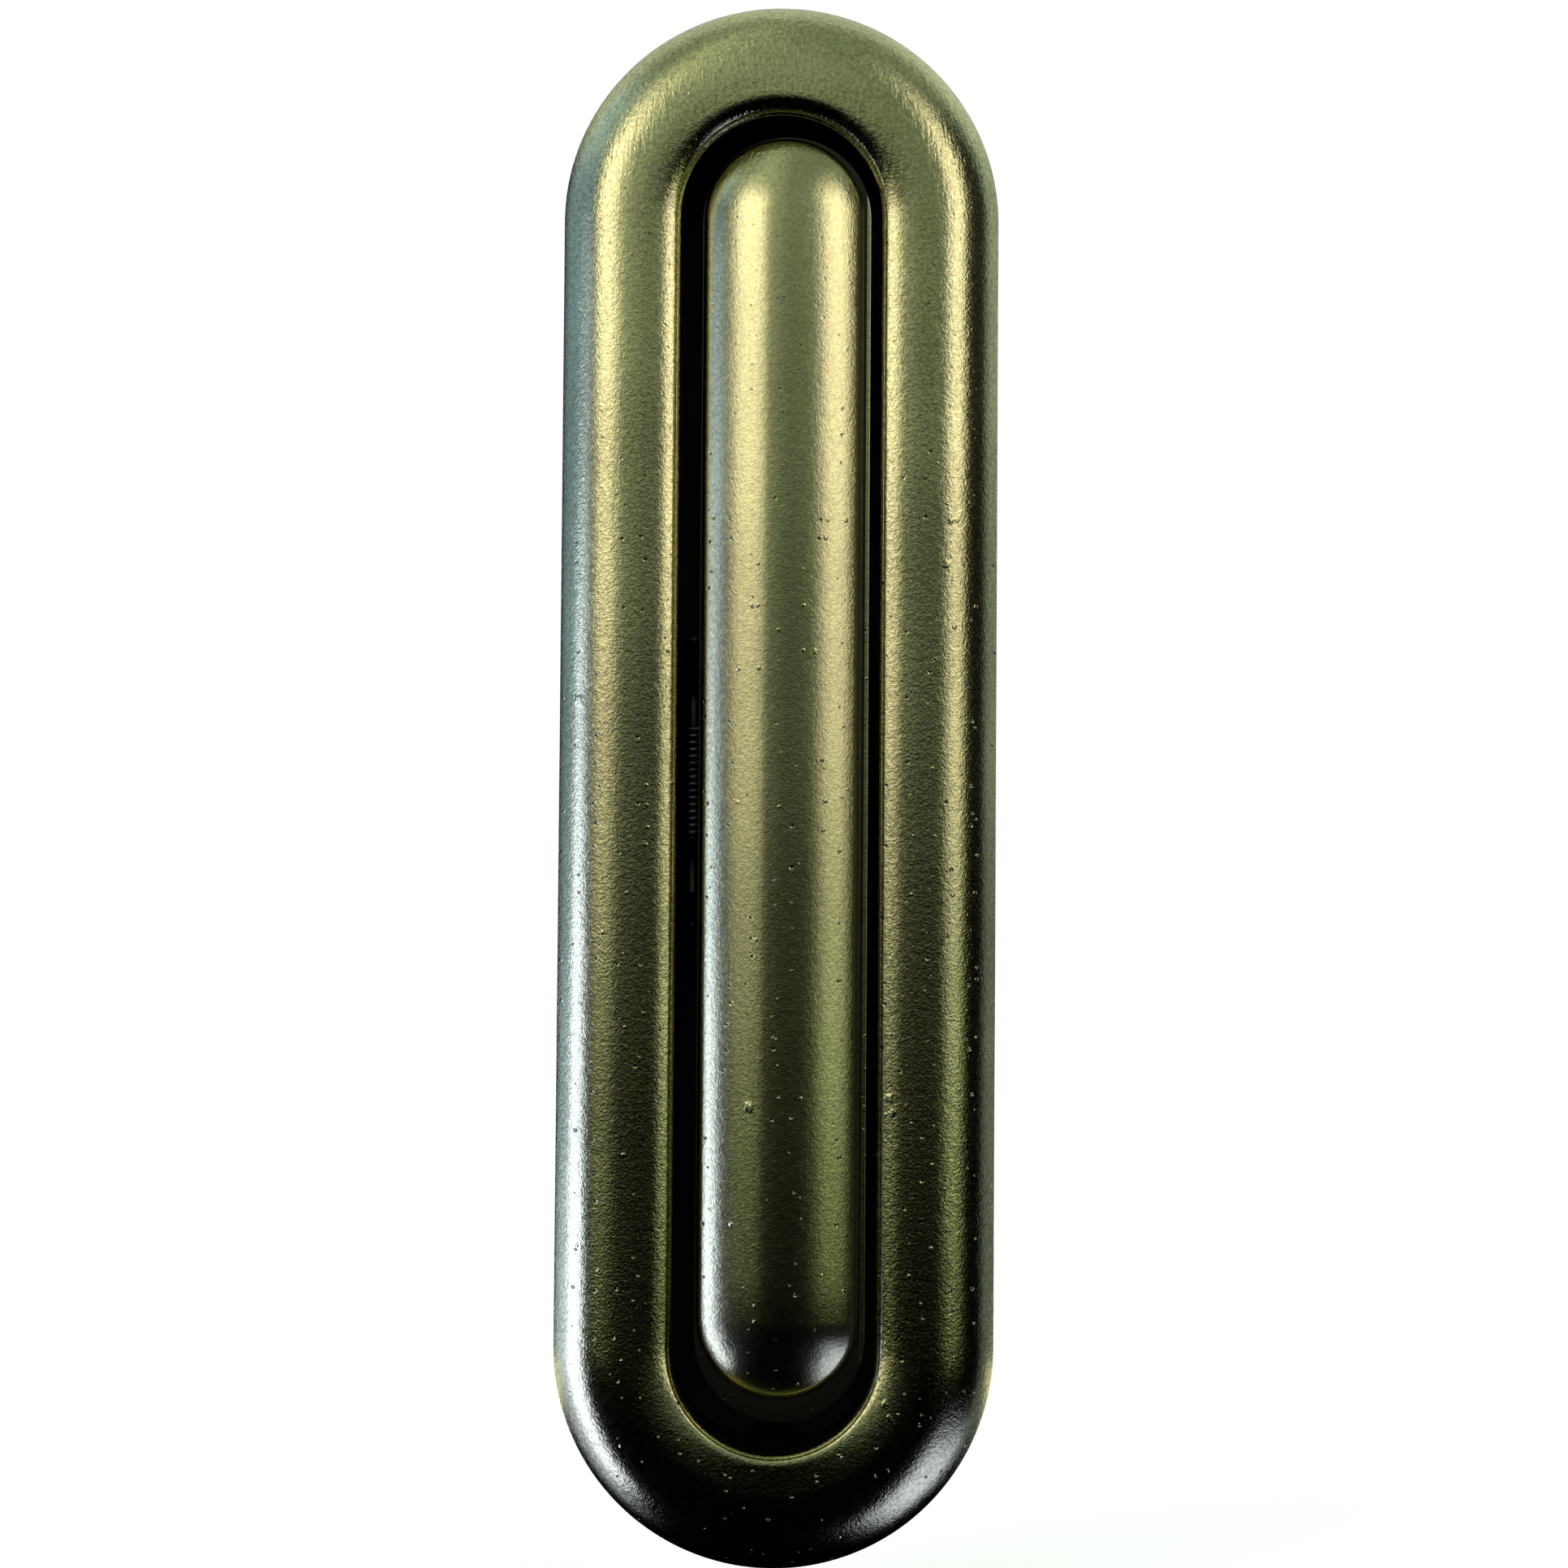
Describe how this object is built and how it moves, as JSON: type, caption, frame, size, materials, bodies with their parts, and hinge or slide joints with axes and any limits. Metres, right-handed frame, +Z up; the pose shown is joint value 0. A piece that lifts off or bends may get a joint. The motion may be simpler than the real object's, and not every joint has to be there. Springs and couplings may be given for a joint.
{
  "type": "flush pull",
  "caption": "Round-ended flush pull for a sliding or cupboard door: a domed frame with a sprung flap in its slot that is pushed inwards to make room for the fingers.",
  "frame": {"origin": "centre of the frame's seat, on the plane of the door's face", "axes": "+Z up the door along the pull, +Y into the door, +X to the right as seen from the room"},
  "size_m": [0.042, 0.0234, 0.15],
  "materials": {
    "antique_brass": "satin antique brass plating on a zinc die casting",
    "spring_steel": "oiled drawn wire and bright ground pin",
    "black_plate": "matt black stove enamel on sheet steel"
  },
  "bodies": {
    "housing": {"bezel_frame": "antique_brass", "hinge_pin": "spring_steel", "return_spring": "spring_steel", "back_plate": "black_plate"},
    "flap": {"pull_flap": "antique_brass"}
  },
  "joints": [
    {"name": "flap_hinge", "type": "hinge", "parent": "housing", "child": "flap", "pos_m": [-0.0082, 0.0024, 0], "axis": [0, 0, 1], "range_deg": [0, 50], "stiffness_Nm_per_rad": 0.012, "springref_deg": -89.95, "deforming": ["return_spring"]}
  ]
}
